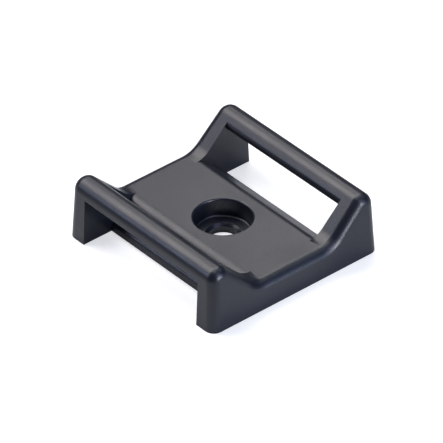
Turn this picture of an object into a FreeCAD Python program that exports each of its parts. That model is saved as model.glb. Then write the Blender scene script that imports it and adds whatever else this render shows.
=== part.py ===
"""Screw-on cable tie mount: one nylon moulding with a saddle, two strap bars and a recessed screw hole.

Axes: X runs along the two bars, Y across them, Z up from the mounting surface. The origin is on the
screw hole's axis, in the flat bottom face. All sizes are millimetres and degrees.
"""
import FreeCAD, Part
import math
import os
import Sketcher

NODE = "tie_mount"

# Driving dimensions, one cell of the sheet each
SIZES = {
    # Outer block, measured at the bottom face where nothing else is said
    "overall_width": 30.8,
    "overall_length": 30.0,
    "overall_height": 9.6,
    "outer_draft": 2.75,
    # Rounding round each cheek's outer face: its upright corners and its saddle-shaped top
    "cheek_edge_radius": 1.5,
    # Cheeks: the two side walls, whose tops fall in a saddle from the bars to the level seat
    "cheek_wall": 3.45,
    "seat_length": 10.36,
    "saddle_foot_radius": 3.5,
    # Bars: the two round-topped rails that hold the strap down
    "bar_wall": 3.8,
    "bar_depth": 2.5,
    "bar_outer_radius": 1.85,
    "bar_inner_radius": 1.7,
    "bar_crest_flat": 0.06,
    "bar_nose_radius": 0.75,
    "bar_lower_radius": 0.3,
    # Plate: the seat between the cheeks, level for a land past the head recess, then rounding over into
    # a straight ramp down to each strap window
    "plate_height": 4.3,
    "plate_edge_height": 1.1,
    "strap_gap": 0.86,
    "plate_land": 1.375,
    "ramp_brow_radius": 2.0,
    "plate_edge_radius": 0.35,
    # Screw hole with a recess for a pan head
    "screw_hole": 4.3,
    "head_recess": 8.25,
    "head_recess_depth": 2.9,
    "recess_rim_radius": 0.3,
    "screw_rim_bevel": 0.4,
    # Hollows in the underside that keep the walls even
    "core_skin": 1.8,
    "core_wall": 1.9,
    "core_end_wall": 0.3,
    "core_corner_radius": 1.2,
    "core_draft": 1.5,
    # How far a cutting profile reaches past the surface that it cuts through
    "cut_margin": 2.0,
}

# How near a point has to lie to a face or a height to count as on it
ON_FACE = 0.01
# Points looked at along an edge when edges are picked by where they lie
EDGE_SAMPLES = 5

# The size that each kind of edge finish takes
FINISH_SIZE = {"Fillet": "Radius", "Chamfer": "Size"}

# Formulas on the sheet that several features share
BAR_UNDERSIDE = "(sizes.overall_height - sizes.bar_depth)"
BAR_INNER_FACE = (
    f"sizes.overall_length / 2 - {BAR_UNDERSIDE} * tan(sizes.outer_draft * 1 deg) - sizes.bar_wall"
)
BAR_OUTER_FACE = (
    "sizes.overall_length / 2"
    f" - ({BAR_UNDERSIDE} + sizes.bar_lower_radius) * tan(sizes.outer_draft * 1 deg)"
)
PLATE_EDGE = f"{BAR_INNER_FACE} - sizes.strap_gap"
RAMP_START = "sizes.head_recess / 2 + sizes.plate_land"
CREST_PLACE = (
    "sizes.overall_length / 2 - sizes.overall_height * tan(sizes.outer_draft * 1 deg)"
    " - sizes.bar_outer_radius * tan(45 deg - sizes.outer_draft / 2 * 1 deg) - sizes.bar_crest_flat"
)
CORE_INNER = "sizes.head_recess / 2 + sizes.core_wall"
CORE_OUTER = (
    "sizes.overall_width / 2 - sizes.plate_height * tan(sizes.outer_draft * 1 deg) - sizes.core_wall"
)
CORE_END = f"{RAMP_START} - sizes.core_end_wall"


def draft_inset(height):
    """How far the outer faces have leaned in at a height."""
    return height * math.tan(math.radians(SIZES["outer_draft"]))


def make_sheet(doc):
    """Write every driving dimension into the spreadsheet, with its alias."""
    sheet = doc.addObject("Spreadsheet::Sheet", "sizes")
    for row, (alias, value) in enumerate(SIZES.items(), start=1):
        sheet.set(f"A{row}", alias)
        sheet.set(f"B{row}", str(value))
        sheet.setAlias(f"B{row}", alias)
    doc.recompute()


def origin_plane(body, role):
    return next(item for item in body.Origin.OriginFeatures if item.Role == role)


def new_sketch(body, name, role):
    """Add a sketch on one of the body's own origin planes."""
    sketch = body.newObject("Sketcher::SketchObject", name)
    sketch.AttachmentSupport = [(origin_plane(body, role), "")]
    sketch.MapMode = "FlatFace"
    return sketch


def add_line(sketch, start, end):
    segment = Part.LineSegment(FreeCAD.Vector(*start, 0), FreeCAD.Vector(*end, 0))
    return sketch.addGeometry(segment, False)


def add_arc(sketch, centre, start, end):
    """Add the anticlockwise arc from start to end about centre."""
    radius = math.dist(centre, start)
    circle = Part.Circle(FreeCAD.Vector(*centre, 0), FreeCAD.Vector(0, 0, 1), radius)
    angles = [math.atan2(point[1] - centre[1], point[0] - centre[0]) for point in (start, end)]
    return sketch.addGeometry(Part.ArcOfCircle(circle, *angles), False)


def join_ends(sketch, *pairs):
    """Make pairs of curve ends coincide; each pair is (curve, end, curve, end)."""
    for pair in pairs:
        sketch.addConstraint(Sketcher.Constraint("Coincident", *pair))


def add_size(sketch, name, kind, places, formula):
    """Add a dimension that follows a formula on the sheet, starting from its present value."""
    start_value = float(sketch.evalExpression(formula))
    index = sketch.addConstraint(Sketcher.Constraint(kind, *places, start_value))
    sketch.renameConstraint(index, name)
    sketch.setExpression(f"Constraints.{name}", formula)


def rectangle(sketch, low, high, formulas):
    """Draw a rectangle and tie its left, right, front and back sides to formulas on the sheet."""
    (x0, y0), (x1, y1) = low, high
    corners = [(x0, y0), (x1, y0), (x1, y1), (x0, y1)]
    sides = [add_line(sketch, start, end) for start, end in zip(corners, corners[1:] + corners[:1])]
    front, right, back, left = sides
    join_ends(sketch, *((side, 2, following, 1) for side, following in zip(sides, sides[1:] + sides[:1])))
    for side in (front, back):
        sketch.addConstraint(Sketcher.Constraint("Horizontal", side))
    for side in (left, right):
        sketch.addConstraint(Sketcher.Constraint("Vertical", side))
    add_size(sketch, "left", "DistanceX", (-1, 1, left, 1), formulas[0])
    add_size(sketch, "right", "DistanceX", (-1, 1, right, 1), formulas[1])
    add_size(sketch, "front", "DistanceY", (-1, 1, front, 1), formulas[2])
    add_size(sketch, "back", "DistanceY", (-1, 1, back, 1), formulas[3])


def add_block(body):
    """Pad the drafted outer block from the bottom face up to the tops of the bars."""
    sketch = new_sketch(body, "outline", "XY_Plane")
    rectangle(
        sketch,
        (-SIZES["overall_width"] / 2, -SIZES["overall_length"] / 2),
        (SIZES["overall_width"] / 2, SIZES["overall_length"] / 2),
        (
            "-sizes.overall_width / 2",
            "sizes.overall_width / 2",
            "-sizes.overall_length / 2",
            "sizes.overall_length / 2",
        ),
    )
    pad = body.newObject("PartDesign::Pad", "block")
    pad.Profile = sketch
    pad.setExpression("Length", "sizes.overall_height")
    pad.setExpression("TaperAngle", "-sizes.outer_draft")
    return pad


def bar_underside():
    """Height of the bars' flat undersides."""
    return SIZES["overall_height"] - SIZES["bar_depth"]


def bar_inner_face():
    """Distance from the X axis to the face of a bar that looks at the plate."""
    return SIZES["overall_length"] / 2 - draft_inset(bar_underside()) - SIZES["bar_wall"]


def plate_edge():
    """Distance from the X axis to the plate's low edges."""
    return bar_inner_face() - SIZES["strap_gap"]


def ramp_start():
    """Distance from the X axis to where the plate begins to round over into its ramps."""
    return SIZES["head_recess"] / 2 + SIZES["plate_land"]


def core_end():
    """Distance from the X axis to the ends of the underside hollows."""
    return ramp_start() - SIZES["core_end_wall"]


def crest_place():
    """Distance from the X axis to the crest, where a bar's two top roundings meet."""
    lean = math.radians(SIZES["outer_draft"])
    outer_edge = SIZES["overall_length"] / 2 - draft_inset(SIZES["overall_height"])
    rounding = SIZES["bar_outer_radius"] * math.tan(math.pi / 4 - lean / 2)
    return outer_edge - rounding - SIZES["bar_crest_flat"]


class SaddleProfile:
    """Places on the half profile of the saddle, as distances from the X axis and heights."""

    def __init__(self):
        plate, top = SIZES["plate_height"], SIZES["overall_height"]
        foot_radius, bar_radius = SIZES["saddle_foot_radius"], SIZES["bar_inner_radius"]
        self.foot_start = (SIZES["seat_length"] / 2, plate)
        self.foot_centre = (self.foot_start[0], plate + foot_radius)
        self.crest = (crest_place(), top)
        self.bar_centre = (self.crest[0], top - bar_radius)
        run, rise = (bar - foot for bar, foot in zip(self.bar_centre, self.foot_centre))
        slope = math.atan2(rise, run) + math.asin((foot_radius + bar_radius) / math.hypot(run, rise))
        self.slope = slope
        self.slope_top = (
            self.bar_centre[0] - bar_radius * math.sin(slope),
            self.bar_centre[1] + bar_radius * math.cos(slope),
        )
        self.foot_end = (
            self.foot_centre[0] + foot_radius * math.sin(slope),
            self.foot_centre[1] - foot_radius * math.cos(slope),
        )

    def height_at(self, distance):
        """Height of the saddle at a distance from the X axis, up to the top of its slope."""
        if distance <= self.foot_start[0]:
            return self.foot_start[1]
        if distance >= self.foot_end[0]:
            return self.foot_end[1] + (distance - self.foot_end[0]) * math.tan(self.slope)
        run = distance - self.foot_centre[0]
        return self.foot_centre[1] - math.sqrt(SIZES["saddle_foot_radius"] ** 2 - run**2)


def add_saddle(body):
    """Cut one half of the saddle: plate level, hollow foot, slope and the bar's rounded inner top."""
    profile = SaddleProfile()
    plate = SIZES["plate_height"]
    crest = profile.crest
    ceiling = crest[1] + SIZES["cut_margin"]
    sketch = new_sketch(body, "saddle_profile", "YZ_Plane")
    seat = add_line(sketch, (0, plate), profile.foot_start)
    foot = add_arc(sketch, profile.foot_centre, profile.foot_start, profile.foot_end)
    ramp = add_line(sketch, profile.foot_end, profile.slope_top)
    shoulder = add_arc(sketch, profile.bar_centre, crest, profile.slope_top)
    outer = add_line(sketch, crest, (crest[0], ceiling))
    lid = add_line(sketch, (crest[0], ceiling), (0, ceiling))
    middle = add_line(sketch, (0, ceiling), (0, plate))
    join_ends(sketch, (shoulder, 1, outer, 1), (outer, 2, lid, 1), (lid, 2, middle, 1), (middle, 2, seat, 1))
    for tangent in ((seat, 2, foot, 1), (foot, 2, ramp, 1), (ramp, 2, shoulder, 2)):
        sketch.addConstraint(Sketcher.Constraint("Tangent", *tangent))
    for line in (seat, lid):
        sketch.addConstraint(Sketcher.Constraint("Horizontal", line))
    for line in (outer, middle):
        sketch.addConstraint(Sketcher.Constraint("Vertical", line))
    sketch.addConstraint(Sketcher.Constraint("PointOnObject", seat, 1, -2))
    sketch.addConstraint(Sketcher.Constraint("Vertical", shoulder, 1, shoulder, 3))
    add_size(sketch, "seat_height", "DistanceY", (-1, 1, seat, 1), "sizes.plate_height")
    add_size(sketch, "crest_height", "DistanceY", (-1, 1, shoulder, 1), "sizes.overall_height")
    add_size(sketch, "crest_place", "DistanceX", (-1, 1, shoulder, 1), CREST_PLACE)
    add_size(sketch, "ceiling", "DistanceY", (-1, 1, lid, 1), "sizes.overall_height + sizes.cut_margin")
    add_size(sketch, "shoulder_radius", "Radius", (shoulder,), "sizes.bar_inner_radius")
    add_size(sketch, "foot_radius", "Radius", (foot,), "sizes.saddle_foot_radius")
    add_size(sketch, "seat_end", "DistanceX", (-1, 1, foot, 1), "sizes.seat_length / 2")

    pocket = body.newObject("PartDesign::Pocket", "saddle_half")
    pocket.Profile = sketch
    pocket.SideType = "Symmetric"
    pocket.setExpression("Length", "sizes.overall_width + 2 * sizes.cut_margin")
    return pocket


def add_strap_way(body):
    """Cut one strap window between the cheeks: level seat, brow, straight ramp and out under the bar."""
    plate, top = SIZES["plate_height"], SIZES["overall_height"]
    under, edge_top = bar_underside(), SIZES["plate_edge_height"]
    margin = SIZES["cut_margin"]
    ceiling = top + margin
    bar_face = bar_inner_face()
    outside = SIZES["overall_length"] / 2 + margin
    lip_radius = SIZES["bar_lower_radius"]
    lip_outer = SIZES["overall_length"] / 2 - draft_inset(under + lip_radius)
    lip_centre = (lip_outer - lip_radius, under + lip_radius)
    ramp_low = (plate_edge(), edge_top)
    brow_radius = SIZES["ramp_brow_radius"]
    brow_start = (ramp_start(), plate)
    brow_centre = (brow_start[0], plate - brow_radius)
    run, rise = (low - centre for low, centre in zip(ramp_low, brow_centre))
    bearing = math.atan2(rise, run) + math.acos(brow_radius / math.hypot(run, rise))
    ramp_high = (
        brow_centre[0] + brow_radius * math.cos(bearing),
        brow_centre[1] + brow_radius * math.sin(bearing),
    )

    sketch = new_sketch(body, "strap_way_profile", "YZ_Plane")
    edge = add_line(sketch, (ramp_low[0], -margin), ramp_low)
    ramp = add_line(sketch, ramp_high, ramp_low)
    brow = add_arc(sketch, brow_centre, ramp_high, brow_start)
    seat = add_line(sketch, (0, plate), brow_start)
    middle = add_line(sketch, (0, ceiling), (0, plate))
    lid = add_line(sketch, (bar_face, ceiling), (0, ceiling))
    face = add_line(sketch, (bar_face, ceiling), (bar_face, under))
    soffit = add_line(sketch, (bar_face, under), (lip_centre[0], under))
    lip = add_arc(sketch, lip_centre, (lip_centre[0], under), (lip_centre[0] + lip_radius, lip_centre[1]))
    shelf = add_line(sketch, (lip_centre[0] + lip_radius, lip_centre[1]), (outside, lip_centre[1]))
    outer = add_line(sketch, (outside, lip_centre[1]), (outside, -margin))
    floor = add_line(sketch, (outside, -margin), (ramp_low[0], -margin))
    join_ends(
        sketch,
        (edge, 2, ramp, 2),
        (seat, 1, middle, 2),
        (middle, 1, lid, 2),
        (lid, 1, face, 1),
        (face, 2, soffit, 1),
        (lip, 2, shelf, 1),
        (shelf, 2, outer, 1),
        (outer, 2, floor, 1),
        (floor, 2, edge, 1),
    )
    for line in (edge, middle, face, outer):
        sketch.addConstraint(Sketcher.Constraint("Vertical", line))
    for tangent in ((ramp, 1, brow, 1), (seat, 2, brow, 2), (soffit, 2, lip, 1)):
        sketch.addConstraint(Sketcher.Constraint("Tangent", *tangent))
    for line in (seat, lid, soffit, shelf, floor):
        sketch.addConstraint(Sketcher.Constraint("Horizontal", line))
    sketch.addConstraint(Sketcher.Constraint("PointOnObject", seat, 1, -2))
    add_size(sketch, "edge_place", "DistanceX", (-1, 1, edge, 2), PLATE_EDGE)
    add_size(sketch, "edge_height", "DistanceY", (-1, 1, edge, 2), "sizes.plate_edge_height")
    add_size(sketch, "ramp_start", "DistanceX", (-1, 1, seat, 2), RAMP_START)
    add_size(sketch, "ramp_top", "DistanceY", (-1, 1, seat, 2), "sizes.plate_height")
    add_size(sketch, "brow_curve", "Radius", (brow,), "sizes.ramp_brow_radius")
    add_size(sketch, "ceiling", "DistanceY", (-1, 1, lid, 1), "sizes.overall_height + sizes.cut_margin")
    add_size(sketch, "bar_face", "DistanceX", (-1, 1, soffit, 1), BAR_INNER_FACE)
    add_size(sketch, "soffit_height", "DistanceY", (-1, 1, soffit, 1), BAR_UNDERSIDE)
    add_size(sketch, "lip_curve", "Radius", (lip,), "sizes.bar_lower_radius")
    add_size(sketch, "lip_height", "DistanceY", (-1, 1, lip, 2), f"{BAR_UNDERSIDE} + sizes.bar_lower_radius")
    add_size(sketch, "lip_place", "DistanceX", (-1, 1, lip, 2), BAR_OUTER_FACE)
    add_size(sketch, "outside", "DistanceX", (-1, 1, outer, 1), "sizes.overall_length / 2 + sizes.cut_margin")
    add_size(sketch, "below", "DistanceY", (-1, 1, floor, 1), "-sizes.cut_margin")

    pocket = body.newObject("PartDesign::Pocket", "strap_way")
    pocket.Profile = sketch
    pocket.SideType = "Symmetric"
    pocket.setExpression("Length", "sizes.overall_width - 2 * sizes.cheek_wall")
    return pocket


def add_mirror(body, name, feature, role):
    """Repeat a cut on the other side of an origin plane."""
    mirror = body.newObject("PartDesign::Mirrored", name)
    mirror.Originals = [feature]
    mirror.MirrorPlane = (origin_plane(body, role), [""])
    body.Tip = mirror
    return mirror


def add_screw_hole(body, doc):
    """Bore the screw hole through the plate, with the recess for the head."""
    sketch = new_sketch(body, "screw_place", "XY_Plane")
    sketch.setExpression("AttachmentOffset.Base.z", "sizes.plate_height")
    circle = Part.Circle(FreeCAD.Vector(0, 0, 0), FreeCAD.Vector(0, 0, 1), SIZES["head_recess"] / 2)
    ring = sketch.addGeometry(circle, False)
    sketch.addConstraint(Sketcher.Constraint("Coincident", ring, 3, -1, 1))
    add_size(sketch, "recess", "Diameter", (ring,), "sizes.head_recess")
    doc.recompute()

    hole = body.newObject("PartDesign::Hole", "screw_hole")
    hole.Profile = sketch
    doc.recompute()
    hole.DepthType = "ThroughAll"
    hole.DrillPoint = "Flat"
    hole.HoleCutType = "Counterbore"
    hole.HoleCutCustomValues = True
    hole.setExpression("Diameter", "sizes.screw_hole")
    hole.setExpression("HoleCutDiameter", "sizes.head_recess")
    hole.setExpression("HoleCutDepth", "sizes.head_recess_depth")
    return hole


def add_core(body):
    """Hollow the underside on one side of the screw boss."""
    end = core_end()
    inner = SIZES["head_recess"] / 2 + SIZES["core_wall"]
    outer = SIZES["overall_width"] / 2 - draft_inset(SIZES["plate_height"]) - SIZES["core_wall"]
    sketch = new_sketch(body, "core_outline", "XY_Plane")
    rectangle(
        sketch,
        (inner, -end),
        (outer, end),
        (CORE_INNER, CORE_OUTER, f"-({CORE_END})", CORE_END),
    )
    pocket = body.newObject("PartDesign::Pocket", "core")
    pocket.Profile = sketch
    pocket.Reversed = True
    pocket.setExpression("Length", "sizes.plate_height - sizes.core_skin")
    pocket.setExpression("TaperAngle", "-sizes.core_draft")
    return pocket


def edge_points(edge):
    return edge.discretize(EDGE_SAMPLES)


def on_cheek_face(point):
    """True of points on a cheek's drafted outer face."""
    face = SIZES["overall_width"] / 2 - draft_inset(point.z)
    return abs(abs(point.x) - face) < ON_FACE


def round_cheek_face(edge):
    """True of the edges of a cheek's outer face, apart from its bottom one."""
    points = edge_points(edge)
    return all(on_cheek_face(p) for p in points) and any(p.z > ON_FACE for p in points)


def along_bars(edge, height, distance):
    """True of straight edges along X at a height and a distance from the X axis, on either side."""
    start, end = edge.Vertexes[0].Point, edge.Vertexes[-1].Point
    if abs(start.y - end.y) > ON_FACE or abs(start.x - end.x) < SIZES["head_recess"]:
        return False
    return all(
        abs(p.z - height) < ON_FACE and abs(abs(p.y) - distance) < ON_FACE for p in edge_points(edge)
    )


def core_corner(edge):
    """True of a core's drafted upright corners."""
    start, end = edge.Vertexes[0].Point, edge.Vertexes[-1].Point
    depth = SIZES["plate_height"] - SIZES["core_skin"]
    inner = SIZES["head_recess"] / 2 + SIZES["core_wall"]
    rises = abs(abs(start.z - end.z) - depth) < ON_FACE and min(start.z, end.z) < ON_FACE
    return rises and abs(start.x) > inner - ON_FACE and abs(start.y) < core_end() + ON_FACE


def ring_at(edge, height, radius):
    """True of a circle about the screw axis at a height."""
    return all(
        abs(p.z - height) < ON_FACE and abs(math.hypot(p.x, p.y) - radius) < ON_FACE
        for p in edge_points(edge)
    )


def finish_edges(doc, body, kind, name, alias, is_wanted, expected):
    """Fillet or chamfer the edges that a test picks, by a size from the sheet."""
    base = body.Tip
    names = [f"Edge{n}" for n, edge in enumerate(base.Shape.Edges, start=1) if is_wanted(edge)]
    if len(names) != expected:
        raise RuntimeError(f"{name}: {len(names)} edges found, {expected} expected")
    finish = body.newObject(f"PartDesign::{kind}", name)
    finish.Base = (base, names)
    finish.setExpression(FINISH_SIZE[kind], f"sizes.{alias}")
    body.Tip = finish
    doc.recompute()


def run_cut(doc, body, add_feature, *arguments):
    """Add a cutting feature and make sure that it took material away."""
    before = body.Tip.Shape.Volume
    feature = add_feature(body, *arguments)
    body.Tip = feature
    doc.recompute()
    if not feature.Shape.Volume < before:
        raise RuntimeError(f"{feature.Name} cut nothing")
    return feature


def finish_small_edges(doc, body):
    """Round or bevel the small edges: cores, bar noses, plate edges and screw recess."""
    plate, under = SIZES["plate_height"], bar_underside()
    recess_floor = plate - SIZES["head_recess_depth"]
    nose = bar_inner_face()
    nose_top = SaddleProfile().height_at(nose)
    finish_edges(doc, body, "Fillet", "core_corners", "core_corner_radius", core_corner, 8)
    finish_edges(
        doc, body, "Fillet", "bar_noses", "bar_nose_radius",
        lambda edge: along_bars(edge, under, nose) or along_bars(edge, nose_top, nose),
        4,
    )
    finish_edges(
        doc, body, "Fillet", "plate_edges", "plate_edge_radius",
        lambda edge: along_bars(edge, SIZES["plate_edge_height"], plate_edge()),
        2,
    )
    finish_edges(
        doc, body, "Fillet", "recess_rim", "recess_rim_radius",
        lambda edge: ring_at(edge, plate, SIZES["head_recess"] / 2),
        1,
    )
    finish_edges(
        doc, body, "Chamfer", "screw_rim", "screw_rim_bevel",
        lambda edge: ring_at(edge, recess_floor, SIZES["screw_hole"] / 2),
        1,
    )


def build_mount(doc):
    """Model the whole moulding as one body."""
    body = doc.addObject("PartDesign::Body", "Moulding")
    body.Label = NODE
    body.Placement = FreeCAD.Placement()
    add_block(body)
    doc.recompute()

    saddle = run_cut(doc, body, add_saddle)
    run_cut(doc, body, add_mirror, "saddle", saddle, "XZ_Plane")
    top = SIZES["overall_height"]
    top_edge = SIZES["overall_length"] / 2 - draft_inset(top)
    finish_edges(
        doc, body, "Fillet", "bar_tops", "bar_outer_radius",
        lambda edge: along_bars(edge, top, top_edge),
        2,
    )
    finish_edges(doc, body, "Fillet", "cheek_edges", "cheek_edge_radius", round_cheek_face, 28)

    strap_way = run_cut(doc, body, add_strap_way)
    run_cut(doc, body, add_mirror, "strap_ways", strap_way, "XZ_Plane")
    run_cut(doc, body, add_screw_hole, doc)
    core = run_cut(doc, body, add_core)
    run_cut(doc, body, add_mirror, "cores", core, "YZ_Plane")
    finish_small_edges(doc, body)
    return body


def check(doc, body):
    """Stop if any object failed or the moulding isn't one whole solid."""
    for item in doc.Objects:
        if "Invalid" in item.State or "Error" in item.State:
            raise RuntimeError(f"{item.Name} failed: {item.State}")
        if item.TypeId == "Sketcher::SketchObject" and not item.FullyConstrained:
            raise RuntimeError(f"{item.Name} isn't fully constrained")
    shape = body.Shape
    if shape.isNull() or not shape.isValid() or len(shape.Solids) != 1:
        raise RuntimeError(f"{body.Label} isn't one valid solid")


def main():
    """Build the document and write the moulding's STEP file."""
    os.makedirs("parts", exist_ok=True)
    doc = FreeCAD.newDocument("tie_mount")
    make_sheet(doc)
    body = build_mount(doc)
    doc.recompute()
    check(doc, body)
    body.Shape.exportStep(os.path.join("parts", f"{body.Label}.step"))
    print(f"{body.Label}: {body.Shape.Volume:.1f} mm3, {len(body.Shape.Faces)} faces")


if __name__ == "__main__":
    main()
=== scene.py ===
"""Cable tie mount, photographed in a small studio: one satin black nylon moulding on a white table.

The moulding is a merged copy of the frame's own solid, with its edges eased as a mould leaves them.
Everything is in metres and in the frame's axes: X along the two strap bars, Z up from the table.
"""
import logging
import math
from dataclasses import dataclass
from enum import Enum

import bmesh
import bpy
from mathutils import Matrix, Vector


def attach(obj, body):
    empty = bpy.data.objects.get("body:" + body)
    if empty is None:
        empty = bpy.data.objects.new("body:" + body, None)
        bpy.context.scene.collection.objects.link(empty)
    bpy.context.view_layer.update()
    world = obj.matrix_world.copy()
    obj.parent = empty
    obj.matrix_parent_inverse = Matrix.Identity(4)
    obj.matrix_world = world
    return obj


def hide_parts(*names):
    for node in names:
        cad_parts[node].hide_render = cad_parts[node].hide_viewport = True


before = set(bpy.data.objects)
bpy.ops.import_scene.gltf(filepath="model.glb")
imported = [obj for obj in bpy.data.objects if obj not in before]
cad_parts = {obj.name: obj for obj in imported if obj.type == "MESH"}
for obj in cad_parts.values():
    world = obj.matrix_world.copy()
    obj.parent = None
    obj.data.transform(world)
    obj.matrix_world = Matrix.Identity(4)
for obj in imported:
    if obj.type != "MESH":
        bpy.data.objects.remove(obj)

MM = 0.001
WHITE = "#ffffff"

# The standard sRGB curve: a straight toe up to a dark level, then a power curve
SRGB_TOE_END = 0.04045
SRGB_TOE_SLOPE = 12.92
SRGB_OFFSET = 0.055
SRGB_POWER = 2.4

log = logging.getLogger("tie_mount")


class LampShape(Enum):
    """Outline of a lamp's glowing face."""

    BOX = "RECTANGLE"
    DISC = "ELLIPSE"


def linear(hex_colour: str) -> tuple[float, float, float, float]:
    """Turn an sRGB hex colour into the linear colour that a shader takes.

    Args:
        hex_colour: Colour as "#rrggbb".

    Returns:
        Red, green, blue and an alpha of 1, linear.
    """
    levels = [int(hex_colour[start:start + 2], 16) / 255 for start in (1, 3, 5)]
    channels = [
        level / SRGB_TOE_SLOPE
        if level <= SRGB_TOE_END
        else ((level + SRGB_OFFSET) / (1 + SRGB_OFFSET)) ** SRGB_POWER
        for level in levels
    ]
    return (*channels, 1.0)


def direction(azimuth: float, elevation: float) -> Vector:
    """Unit vector from the object towards the camera or a lamp.

    Args:
        azimuth: Degrees round from the near side; 0 stands at -Y, 90 at +X.
        elevation: Degrees above the table.

    Returns:
        The unit vector.
    """
    around, above = math.radians(azimuth), math.radians(elevation)
    return Vector((
        math.sin(around) * math.cos(above),
        -math.cos(around) * math.cos(above),
        math.sin(above),
    ))


def add_node(
    tree: bpy.types.NodeTree,
    kind: str,
    inputs: dict[str | int, object] | None = None,
    **settings: object,
) -> bpy.types.Node:
    """Add a shader node with its settings, input values and incoming links.

    Args:
        tree: Node tree that gets the node.
        kind: Blender's name of the node type.
        inputs: Value or output socket for each input, by the input's name or index.
        settings: Attributes of the node, set before its inputs.

    Returns:
        The new node.
    """
    node = tree.nodes.new(kind)
    for name, value in settings.items():
        setattr(node, name, value)
    for name, value in (inputs or {}).items():
        if isinstance(value, bpy.types.NodeSocket):
            tree.links.new(value, node.inputs[name])
        else:
            node.inputs[name].default_value = value
    return node


def new_material(name: str) -> tuple[bpy.types.Material, bpy.types.NodeTree]:
    """Start a material with an empty node tree.

    Args:
        name: Name of the material.

    Returns:
        The material and its node tree.
    """
    material = bpy.data.materials.new(name)
    material.use_nodes = True
    material.node_tree.nodes.clear()
    return material, material.node_tree


@dataclass(frozen=True)
class MouldedNylon:
    """Nylon 6/6 coloured through with carbon black, injection moulded in a finely textured mould.

    To the eye it is nearly black with a broad satin sheen, a little cooler where the pigment thins.
    The flow is the soft mottling that the melt leaves, and the grain is the mould's own texture.
    """

    name: str = "moulded_nylon_black"
    deep_colour: str = "#171a23"
    pale_colour: str = "#1d212c"
    ior: float = 1.53
    roughness: float = 0.32
    roughness_swing: float = 0.04
    flow_mm: float = 7.0
    flow_detail: float = 4.0
    flow_falloff: float = 0.55
    flow_low: float = 0.3
    flow_high: float = 0.7
    grain_mm: float = 0.22
    grain_detail: float = 3.0
    grain_falloff: float = 0.6
    grain_height_mm: float = 0.022

    def material(self) -> bpy.types.Material:
        """Build the shader: flow mottling in colour and gloss, mould grain as bump.

        Returns:
            The material.
        """
        material, tree = new_material(self.name)
        place = add_node(tree, "ShaderNodeTexCoord").outputs["Object"]
        flow = add_node(
            tree,
            "ShaderNodeTexNoise",
            {
                "Vector": place,
                "Scale": 1 / (self.flow_mm * MM),
                "Detail": self.flow_detail,
                "Roughness": self.flow_falloff,
            },
        ).outputs["Fac"]
        colour = add_node(
            tree,
            "ShaderNodeMix",
            {"Factor": flow, "A": linear(self.deep_colour), "B": linear(self.pale_colour)},
            data_type="RGBA",
        )
        gloss = add_node(
            tree,
            "ShaderNodeMapRange",
            {
                "Value": flow,
                "From Min": self.flow_low,
                "From Max": self.flow_high,
                "To Min": self.roughness - self.roughness_swing,
                "To Max": self.roughness + self.roughness_swing,
            },
        )
        # The real grain is under 0.1 mm, and it is drawn coarser so that it shows
        grain = add_node(
            tree,
            "ShaderNodeTexNoise",
            {
                "Vector": place,
                "Scale": 1 / (self.grain_mm * MM),
                "Detail": self.grain_detail,
                "Roughness": self.grain_falloff,
            },
        )
        bump = add_node(
            tree,
            "ShaderNodeBump",
            {"Distance": self.grain_height_mm * MM, "Height": grain.outputs["Fac"]},
        )
        shader = add_node(
            tree,
            "ShaderNodeBsdfPrincipled",
            {
                "Base Color": colour.outputs["Result"],
                "Roughness": gloss.outputs["Result"],
                "IOR": self.ior,
                "Normal": bump.outputs["Normal"],
            },
        )
        add_node(tree, "ShaderNodeOutputMaterial", {"Surface": shader.outputs["BSDF"]})
        return material


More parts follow.
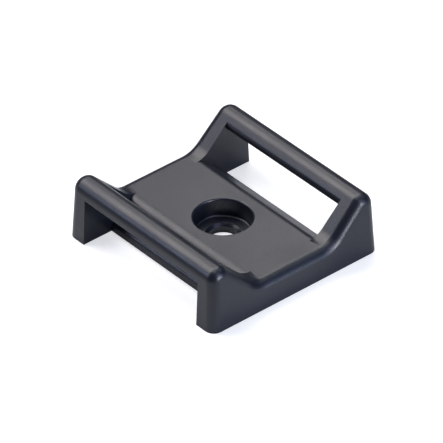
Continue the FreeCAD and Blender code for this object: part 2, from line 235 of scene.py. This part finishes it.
@dataclass(frozen=True)
class TablePaper:
    """Matt background paper, white round the object and painted greyer further out.

    The grey is painted shade, as if the light fell off outside a pool round the object, and it
    keeps stray light off the object. For the camera the paper also glows, more so further out, and
    that takes it to white all over, with a faint shadow left at the object.
    """

    name: str = "background_paper_white"
    colour: str = "#e2e2e2"
    # Painted shade: the grey of the paper far from the object, where the light is taken to fall off
    painted_falloff_colour: str = "#8c8c8c"
    painted_pool_radius_mm: float = 22.0
    painted_falloff_end_mm: float = 62.0
    glow: float = 0.06
    camera_glow: float = 0.52
    far_camera_glow: float = 0.5

    def material(self) -> bpy.types.Material:
        """Build the shader: paper painted grey far out, and a glow for camera, glossy and
        transmission rays.

        Returns:
            The material.
        """
        material, tree = new_material(self.name)
        place = add_node(tree, "ShaderNodeTexCoord").outputs["Object"]
        away = add_node(tree, "ShaderNodeVectorMath", {0: place}, operation="LENGTH")
        # Painted shade: the paper turns from white to grey between these distances, as if the light
        # fell off outside a pool round the object
        painted_falloff = add_node(
            tree,
            "ShaderNodeMapRange",
            {
                "Value": away.outputs["Value"],
                "From Min": self.painted_pool_radius_mm * MM,
                "From Max": self.painted_falloff_end_mm * MM,
            },
        ).outputs["Result"]
        colour = add_node(
            tree,
            "ShaderNodeMix",
            {"Factor": painted_falloff, "A": linear(self.colour), "B": linear(self.painted_falloff_colour)},
            data_type="RGBA",
        )
        paper = add_node(tree, "ShaderNodeBsdfDiffuse", {"Color": colour.outputs["Result"]})
        rays = add_node(tree, "ShaderNodeLightPath").outputs
        lift = add_node(
            tree,
            "ShaderNodeMath",
            {0: painted_falloff, 1: self.far_camera_glow, 2: self.camera_glow},
            operation="MULTIPLY_ADD",
        ).outputs["Value"]
        camera_only = add_node(
            tree, "ShaderNodeMath", {0: rays["Is Camera Ray"], 1: lift}, operation="MULTIPLY"
        ).outputs["Value"]
        seen = rays["Is Camera Ray"]
        for name in ("Is Glossy Ray", "Is Transmission Ray"):
            seen = add_node(
                tree, "ShaderNodeMath", {0: seen, 1: rays[name]}, operation="MAXIMUM"
            ).outputs["Value"]
        strength = add_node(
            tree,
            "ShaderNodeMath",
            {0: seen, 1: self.glow, 2: camera_only},
            operation="MULTIPLY_ADD",
        ).outputs["Value"]
        glow = add_node(tree, "ShaderNodeEmission", {"Strength": strength})
        both = add_node(
            tree, "ShaderNodeAddShader", {0: paper.outputs["BSDF"], 1: glow.outputs["Emission"]}
        )
        add_node(tree, "ShaderNodeOutputMaterial", {"Surface": both.outputs["Shader"]})
        return material


@dataclass(frozen=True)
class Rounding:
    """A rounding that starts a short way from the old edge on each side, in flat steps."""

    reach_mm: float
    segments: int

    def cut(self, mesh: bmesh.types.BMesh, edges: list[bmesh.types.BMEdge]) -> None:
        """Round edges of a mesh.

        Args:
            mesh: Mesh that holds the edges.
            edges: Edges to round.
        """
        bmesh.ops.bevel(
            mesh,
            geom=edges,
            offset=self.reach_mm * MM,
            affect="EDGES",
            segments=self.segments,
            profile=0.5,
            material=-1,
            clamp_overlap=True,
        )


@dataclass
class Moulding:
    """The mount itself: a copy of the frame's solid, with softer edges.

    Faces that turn by less than the flat angle are joined, and edges that turn by more than the
    sharp angle are eased, both in degrees. The recess corner is the ring where the wall of the
    recess meets its floor. A low edge is the line where a ramp of the plate and the upright face
    below it would meet, were it not rounded. Play is how far from such a line a vertex may lie
    and still count. The large face weight, up to 100, is how far large faces set the shading.
    """

    node: str = "tie_mount"
    slot: str = "black_nylon"
    merge_distance_mm: float = 0.0005
    flat_angle: float = 0.4
    sharp_angle: float = 32.0
    eased_edge: Rounding = Rounding(reach_mm=0.10, segments=3)
    recess_corner: Rounding = Rounding(reach_mm=0.28, segments=5)
    recess_radius_mm: float = 4.125
    recess_floor_mm: float = 1.4
    ring_play_mm: float = 0.02
    low_edge_out_mm: float = 10.0
    low_edge_up_mm: float = 1.1
    low_edge_play_mm: float = 0.175
    solid_rounding_mm: float = 0.35
    wider_rounding_mm: float = 0.95
    large_face_weight: int = 100

    def on_recess_corner(self, edge: bmesh.types.BMEdge) -> bool:
        """Tell whether an edge is part of the recess corner.

        Args:
            edge: Edge of the merged mesh.

        Returns:
            True on that ring.
        """
        return all(
            abs(vert.co.z / MM - self.recess_floor_mm) < self.ring_play_mm
            and abs(vert.co.xy.length / MM - self.recess_radius_mm) < self.ring_play_mm
            for vert in edge.verts
        )

    def widen_low_edges(self, mesh: bmesh.types.BMesh) -> None:
        """Give the plate's two low edges a wider rounding between the same faces.

        A rounding grows in place when it is scaled about the line where its two faces would meet.

        Args:
            mesh: Merged mesh of the moulding.
        """
        growth = self.wider_rounding_mm / self.solid_rounding_mm
        for side in (-1, 1):
            edge = Vector((0.0, side * self.low_edge_out_mm, self.low_edge_up_mm)) * MM
            rounding = [
                vert for vert in mesh.verts
                if (vert.co - edge).yz.length < self.low_edge_play_mm * MM
            ]
            bmesh.ops.scale(
                mesh, vec=(1.0, growth, growth), space=Matrix.Translation(-edge), verts=rounding
            )
            log.info("%d vertices on a low edge", len(rounding))

    def shape(self) -> bmesh.types.BMesh:
        """Copy the frame's mesh, merge its loose triangles and soften its edges.

        Returns:
            The finished shape, which the caller frees.
        """
        mesh = bmesh.new()
        mesh.from_mesh(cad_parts[self.node].data)
        bmesh.ops.remove_doubles(mesh, verts=mesh.verts, dist=self.merge_distance_mm * MM)
        bmesh.ops.dissolve_limit(
            mesh, angle_limit=math.radians(self.flat_angle), verts=mesh.verts, edges=mesh.edges
        )
        self.widen_low_edges(mesh)
        corner = [edge for edge in mesh.edges if self.on_recess_corner(edge)]
        self.recess_corner.cut(mesh, corner)
        limit = math.radians(self.sharp_angle)
        sharp = [
            edge for edge in mesh.edges if edge.is_manifold and edge.calc_face_angle() > limit
        ]
        self.eased_edge.cut(mesh, sharp)
        log.info("%d recess corner edges, %d sharp edges", len(corner), len(sharp))
        return mesh

    def build(self, finish: MouldedNylon) -> bpy.types.Object:
        """Make the moulding, dress it and put it in the place of the frame's node.

        Args:
            finish: What the moulding is made of.

        Returns:
            The finished piece.
        """
        mesh = self.shape()
        data = bpy.data.meshes.new("moulding")
        mesh.to_mesh(data)
        mesh.free()
        data.materials.append(finish.material())
        for polygon in data.polygons:
            polygon.use_smooth = True
        piece = bpy.data.objects.new("moulding", data)
        bpy.context.scene.collection.objects.link(piece)
        normals = piece.modifiers.new("face normals", "WEIGHTED_NORMAL")
        normals.weight = self.large_face_weight
        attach(piece, "root")
        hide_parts(self.node)
        return piece


@dataclass(frozen=True)
class Camera:
    """Long lens at the photograph's angle, aimed so that the object lies as it does there.

    Angles are in degrees and the distance is in metres. What is nearer to the camera than the clear
    share of that distance isn't seen.
    """

    azimuth: float = 49.769
    elevation: float = 36.439
    roll: float = -0.385
    distance: float = 0.8625
    clear_share: float = 0.1
    lens_mm: float = 511.3
    sensor_mm: float = 36.0
    aim_mm: tuple[float, float, float] = (0.146, -0.394, 3.703)

    def build(self) -> None:
        """Place the camera and make it the scene's own."""
        data = bpy.data.cameras.new("camera")
        data.sensor_width = self.sensor_mm
        data.lens = self.lens_mm
        data.clip_start = self.distance * self.clear_share
        camera = bpy.data.objects.new("camera", data)
        bpy.context.scene.collection.objects.link(camera)
        back = direction(self.azimuth, self.elevation)
        turn = (-back).to_track_quat("-Z", "Y").to_matrix().to_4x4()
        aim = Vector(self.aim_mm) * MM
        roll = Matrix.Rotation(math.radians(self.roll), 4, "Z")
        camera.matrix_world = Matrix.Translation(aim + back * self.distance) @ turn @ roll
        bpy.context.scene.camera = camera


@dataclass(frozen=True)
class Lamp:
    """A soft lamp that stands in a direction from the object, in degrees, and faces it.

    Its sides, across and up, are the angles that they fill, seen from the object. Its glow is how
    bright a box of those sides looks, where 1 is white. A disc of those sides gives as much light
    from less face. The distance is in metres.
    """

    name: str
    azimuth: float
    elevation: float
    across: float
    up: float
    glow: float
    colour: str = WHITE
    shape: LampShape = LampShape.BOX
    distance: float = 0.8

    def side(self, angle: float) -> float:
        """Length of a side that fills an angle, seen from the object."""
        return 2 * self.distance * math.tan(math.radians(angle / 2))

    def build(self) -> None:
        """Make the lamp, unseen by the camera itself."""
        data = bpy.data.lights.new(self.name, "AREA")
        data.shape = self.shape.value
        data.size = self.side(self.across)
        data.size_y = self.side(self.up)
        data.energy = math.pi * self.glow * data.size * data.size_y
        data.color = linear(self.colour)[:3]
        lamp = bpy.data.objects.new(self.name, data)
        bpy.context.scene.collection.objects.link(lamp)
        towards = direction(self.azimuth, self.elevation)
        lamp.location = towards * self.distance
        lamp.rotation_mode = "QUATERNION"
        lamp.rotation_quaternion = towards.to_track_quat("Z", "Y")
        lamp.visible_camera = False


@dataclass(frozen=True)
class Studio:
    """White table in a ring of soft boxes, near white on the left and cooler on the right.

    The spark is a small bright disc low on the right, which glints on the corners. The table's
    side is in metres.
    """

    table_side: float = 4.0
    room_light: float = 0.01
    lamps: tuple[Lamp, ...] = (
        Lamp("left_front_box", -65, 46, across=28, up=24, glow=4.8, colour="#fff8fb"),
        Lamp("left_middle_box", -100, 52, across=18, up=18, glow=3.4, colour="#fff7f9"),
        Lamp("left_back_box", -135, 44, across=18, up=24, glow=3.4, colour="#fffcfe"),
        Lamp("left_top_box", -105, 66, across=50, up=18, glow=3.9, colour="#fdfff9"),
        Lamp("front_high_box", -40, 38, across=20, up=14, glow=1.4, colour="#ecf8ff"),
        Lamp("front_low_box", -37, 23, across=18, up=16, glow=5.1, colour="#d3dcff"),
        Lamp("right_low_box", 100, 5, across=40, up=10, glow=6.8, colour="#d4dfff"),
        Lamp("right_box", 92, 22, across=20, up=24, glow=4.2, colour="#faf8ff"),
        Lamp("right_back_box", 112, 22, across=18, up=24, glow=2.4, colour="#93bfff"),
        Lamp("right_top_box", 92, 48, across=36, up=26, glow=1.4, colour="#c8c0ff"),
        Lamp("overhead_box", 0, 84, across=24, up=24, glow=2.4, colour="#eefaff"),
        Lamp("back_box", 165, 55, across=23, up=30, glow=1.0, colour="#d9eeff"),
        Lamp("spark", 98, 7, across=6, up=6, glow=65.0, shape=LampShape.DISC),
    )

    def build_table(self, finish: TablePaper) -> bpy.types.Object:
        """Lay the white table under the object.

        Args:
            finish: Paper that covers the table.

        Returns:
            The table.
        """
        mesh = bmesh.new()
        bmesh.ops.create_grid(mesh, x_segments=1, y_segments=1, size=self.table_side / 2)
        data = bpy.data.meshes.new("table")
        mesh.to_mesh(data)
        mesh.free()
        data.materials.append(finish.material())
        table = bpy.data.objects.new("table", data)
        bpy.context.scene.collection.objects.link(table)
        return table

    def build_room(self) -> None:
        """Give the room round the table a very faint, even light."""
        world = bpy.data.worlds.new("room")
        world.use_nodes = True
        tree = world.node_tree
        tree.nodes.clear()
        room = add_node(
            tree,
            "ShaderNodeBackground",
            {"Color": linear(WHITE), "Strength": self.room_light},
        )
        add_node(tree, "ShaderNodeOutputWorld", {"Surface": room.outputs["Background"]})
        bpy.context.scene.world = world

    def build(self, paper: TablePaper) -> None:
        """Set up the table, the room and the lamps.

        Args:
            paper: Paper that covers the table.
        """
        table = self.build_table(paper)
        log.info("%s", table.name)
        self.build_room()
        for lamp in self.lamps:
            lamp.build()
            log.info("lamp %s", lamp.name)


def main() -> None:
    """Build the camera, the studio and the moulding, and report the table, the lamps and the
    moulding.
    """
    logging.basicConfig(level=logging.INFO, format="%(name)s: %(message)s")
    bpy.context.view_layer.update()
    bpy.context.scene.view_settings.view_transform = "Standard"
    Camera().build()
    Studio().build(TablePaper())
    moulding = Moulding().build(MouldedNylon())
    log.info("%s: %d faces", moulding.name, len(moulding.data.polygons))


if __name__ == "__main__":
    main()
